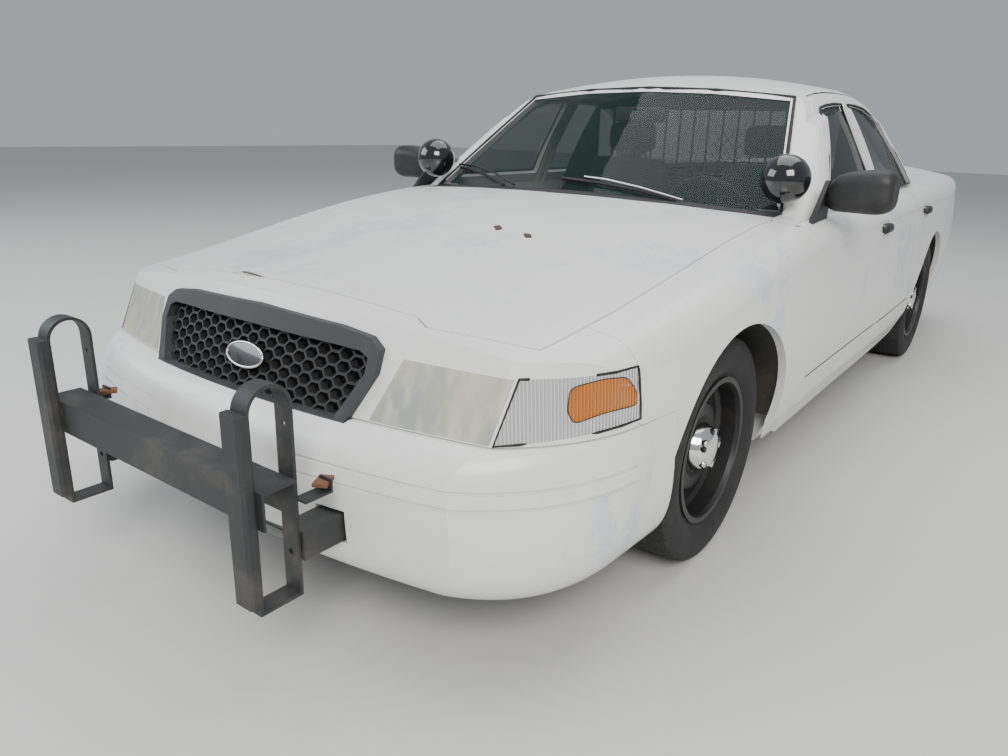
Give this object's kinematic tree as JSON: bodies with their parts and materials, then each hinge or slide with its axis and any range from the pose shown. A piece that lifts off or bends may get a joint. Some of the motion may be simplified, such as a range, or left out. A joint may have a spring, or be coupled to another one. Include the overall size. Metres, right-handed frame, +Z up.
{
  "type": "police patrol car",
  "caption": "Four-door white patrol saloon with opening doors, bonnet and boot, steered rolling wheels, black push bumper, twin spotlights, cabin partition and seats.",
  "frame": {"origin": "middle of the bounding box in plan, on the floor under the tyres", "axes": "-Y forward, +X to the car's left, +Z up"},
  "size_m": [2.256, 5.599, 1.4861],
  "materials": {
    "body_white": "white paint, clear coat peeling in patches",
    "lamp_clear": "hazed clear lens",
    "cabin_plastic": "dark grained plastic",
    "engine_iron": "plain block",
    "exhaust_steel": "dull steel",
    "under_steel": "black underseal",
    "chassis_black": "black chassis paint",
    "body_plastic_white": "white paint, faded and chipped",
    "window_glass": "tinted safety glass",
    "seat_cloth": "dark cloth",
    "grille_plastic": "textured charcoal plastic",
    "trim_black": "satin black",
    "partition_steel": "black powder coat",
    "bumper_black": "textured black steel",
    "wheel_black": "satin black steel wheel with a bright centre cap",
    "lamp_red": "red lens",
    "tyre_rubber": "worn black rubber"
  },
  "bodies": {
    "body": {"body_sides": "body_white", "corner_lamps": "lamp_clear", "dashboard": "cabin_plastic", "engine_block": "engine_iron", "exhaust": "exhaust_steel", "fenders": "body_white", "firewall": "under_steel", "floor_pan": "under_steel", "frame": "chassis_black", "front_bumper": "body_plastic_white", "front_seats": "seat_cloth", "front_suspension": "chassis_black", "fuel_tank": "exhaust_steel", "grille_mesh": "grille_plastic", "grille_surround": "grille_plastic", "header_panel": "body_plastic_white", "headlamps": "lamp_clear", "partition": "partition_steel", "push_bumper": "bumper_black", "radiator_support": "under_steel", "rear_axle": "chassis_black", "rear_bench": "seat_cloth", "rear_bumper": "body_plastic_white", "rear_deck": "body_white", "rear_window": "window_glass", "roof_panel": "body_white", "spotlights": "trim_black", "steering_wheel": "cabin_plastic", "tail_lamps": "lamp_red", "wheelhouses": "under_steel", "windshield": "window_glass"},
    "wheel_front_left": {"rim_front_left": "wheel_black", "tyre_front_left": "tyre_rubber"},
    "wheel_front_right": {"rim_front_right": "wheel_black", "tyre_front_right": "tyre_rubber"},
    "wheel_rear_left": {"rim_rear_left": "wheel_black", "tyre_rear_left": "tyre_rubber"},
    "wheel_rear_right": {"rim_rear_right": "wheel_black", "tyre_rear_right": "tyre_rubber"},
    "knuckle_left": {"knuckle_left": "chassis_black"},
    "knuckle_right": {"knuckle_right": "chassis_black"},
    "front_door_left": {"front_door_left": "body_white", "front_glass_left": "window_glass", "mirror_left": "trim_black"},
    "rear_door_left": {"rear_door_left": "body_white", "rear_glass_left": "window_glass"},
    "front_door_right": {"front_door_right": "body_white", "front_glass_right": "window_glass", "mirror_right": "trim_black"},
    "rear_door_right": {"rear_door_right": "body_white", "rear_glass_right": "window_glass"},
    "hood": {"hood": "body_white"},
    "trunk_lid": {"trunk_lid": "body_white"}
  },
  "joints": [
    {"name": "front_door_left_swing", "type": "hinge", "parent": "body", "child": "front_door_left", "pos_m": [0.992, -0.93, 0.65], "axis": [0, 0, -1], "range_deg": [0, 68]},
    {"name": "front_door_right_swing", "type": "hinge", "parent": "body", "child": "front_door_right", "pos_m": [-0.992, -0.93, 0.65], "axis": [0, 0, 1], "range_deg": [0, 68]},
    {"name": "rear_door_left_swing", "type": "hinge", "parent": "body", "child": "rear_door_left", "pos_m": [0.992, 0.1265, 0.65], "axis": [0, 0, -1], "range_deg": [0, 66]},
    {"name": "rear_door_right_swing", "type": "hinge", "parent": "body", "child": "rear_door_right", "pos_m": [-0.992, 0.1265, 0.65], "axis": [0, 0, 1], "range_deg": [0, 66]},
    {"name": "hood_lift", "type": "hinge", "parent": "body", "child": "hood", "pos_m": [0, -0.8885, 1.003], "axis": [-1, 0, 0], "range_deg": [0, 50]},
    {"name": "trunk_lift", "type": "hinge", "parent": "body", "child": "trunk_lid", "pos_m": [0, 1.5845, 1.066], "axis": [1, 0, 0], "range_deg": [0, 80]},
    {"name": "steer_left", "type": "hinge", "parent": "body", "child": "knuckle_left", "pos_m": [0.715, -1.5295, 0.342], "axis": [0, 0, 1], "range_deg": [-33, 33]},
    {"name": "steer_right", "type": "hinge", "parent": "body", "child": "knuckle_right", "pos_m": [-0.715, -1.5295, 0.342], "axis": [0, 0, 1], "range_deg": [-33, 33]},
    {"name": "spin_front_left", "type": "hinge", "parent": "knuckle_left", "child": "wheel_front_left", "pos_m": [0.805, -1.5295, 0.342], "axis": [1, 0, 0], "continuous": true},
    {"name": "spin_front_right", "type": "hinge", "parent": "knuckle_right", "child": "wheel_front_right", "pos_m": [-0.805, -1.5295, 0.342], "axis": [1, 0, 0], "continuous": true},
    {"name": "spin_rear_left", "type": "hinge", "parent": "body", "child": "wheel_rear_left", "pos_m": [0.833, 1.3835, 0.342], "axis": [1, 0, 0], "continuous": true},
    {"name": "spin_rear_right", "type": "hinge", "parent": "body", "child": "wheel_rear_right", "pos_m": [-0.833, 1.3835, 0.342], "axis": [1, 0, 0], "continuous": true}
  ],
  "couplings": [
    {"joint": "steer_right", "follows": "steer_left", "ratio": 1}
  ]
}
